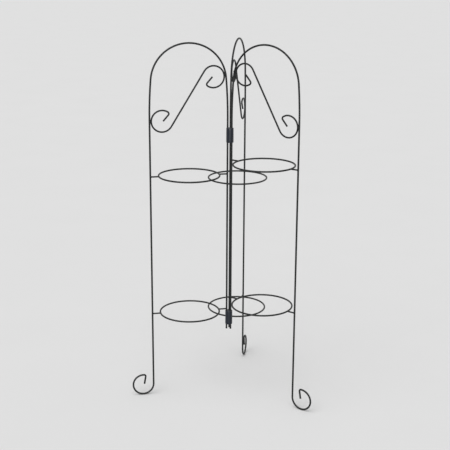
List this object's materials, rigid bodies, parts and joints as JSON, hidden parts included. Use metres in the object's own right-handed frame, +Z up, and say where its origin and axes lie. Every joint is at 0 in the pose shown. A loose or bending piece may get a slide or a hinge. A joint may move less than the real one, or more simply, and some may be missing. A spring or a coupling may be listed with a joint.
{
  "type": "folding plant stand",
  "caption": "Folding wire plant stand: arched panels with scrolls, curled feet and level pot rings swing about a central bundle of legs held by collars.",
  "frame": {"origin": "on the floor, at the middle of the upright bundle of inner legs", "axes": "+Z up, the longest extent; +Y along the rear panel, away from the two swinging panels; +X to the right seen from the front"},
  "size_m": [0.6168, 0.4942, 1.1999],
  "materials": {
    "painted_wire": "satin black paint over steel wire",
    "collar_plastic": "smooth dark blue-grey plastic"
  },
  "bodies": {
    "rear_panel": {"rear_frame": "painted_wire", "rear_scroll": "painted_wire", "rear_lower_ring": "painted_wire", "rear_lower_inner_arm": "painted_wire", "rear_lower_outer_arm": "painted_wire", "rear_upper_ring": "painted_wire", "rear_upper_inner_arm": "painted_wire", "rear_upper_outer_arm": "painted_wire", "lower_collar": "collar_plastic", "upper_collar": "collar_plastic"},
    "left_panel": {"left_frame": "painted_wire", "left_scroll": "painted_wire", "left_lower_ring": "painted_wire", "left_lower_inner_arm": "painted_wire", "left_lower_outer_arm": "painted_wire", "left_upper_ring": "painted_wire", "left_upper_inner_arm": "painted_wire", "left_upper_outer_arm": "painted_wire"},
    "right_panel": {"right_frame": "painted_wire", "right_scroll": "painted_wire", "right_lower_ring": "painted_wire", "right_lower_inner_arm": "painted_wire", "right_lower_outer_arm": "painted_wire", "right_upper_ring": "painted_wire", "right_upper_inner_arm": "painted_wire", "right_upper_outer_arm": "painted_wire"}
  },
  "joints": [
    {"name": "left_swing", "type": "hinge", "parent": "rear_panel", "child": "left_panel", "pos_m": [-0.00693, -0.004, 0], "axis": [0, 0, 1], "range_deg": [-113.5, 66.5]},
    {"name": "right_swing", "type": "hinge", "parent": "rear_panel", "child": "right_panel", "pos_m": [0.00693, -0.004, 0], "axis": [0, 0, 1], "range_deg": [-66.5, 113.5]}
  ]
}
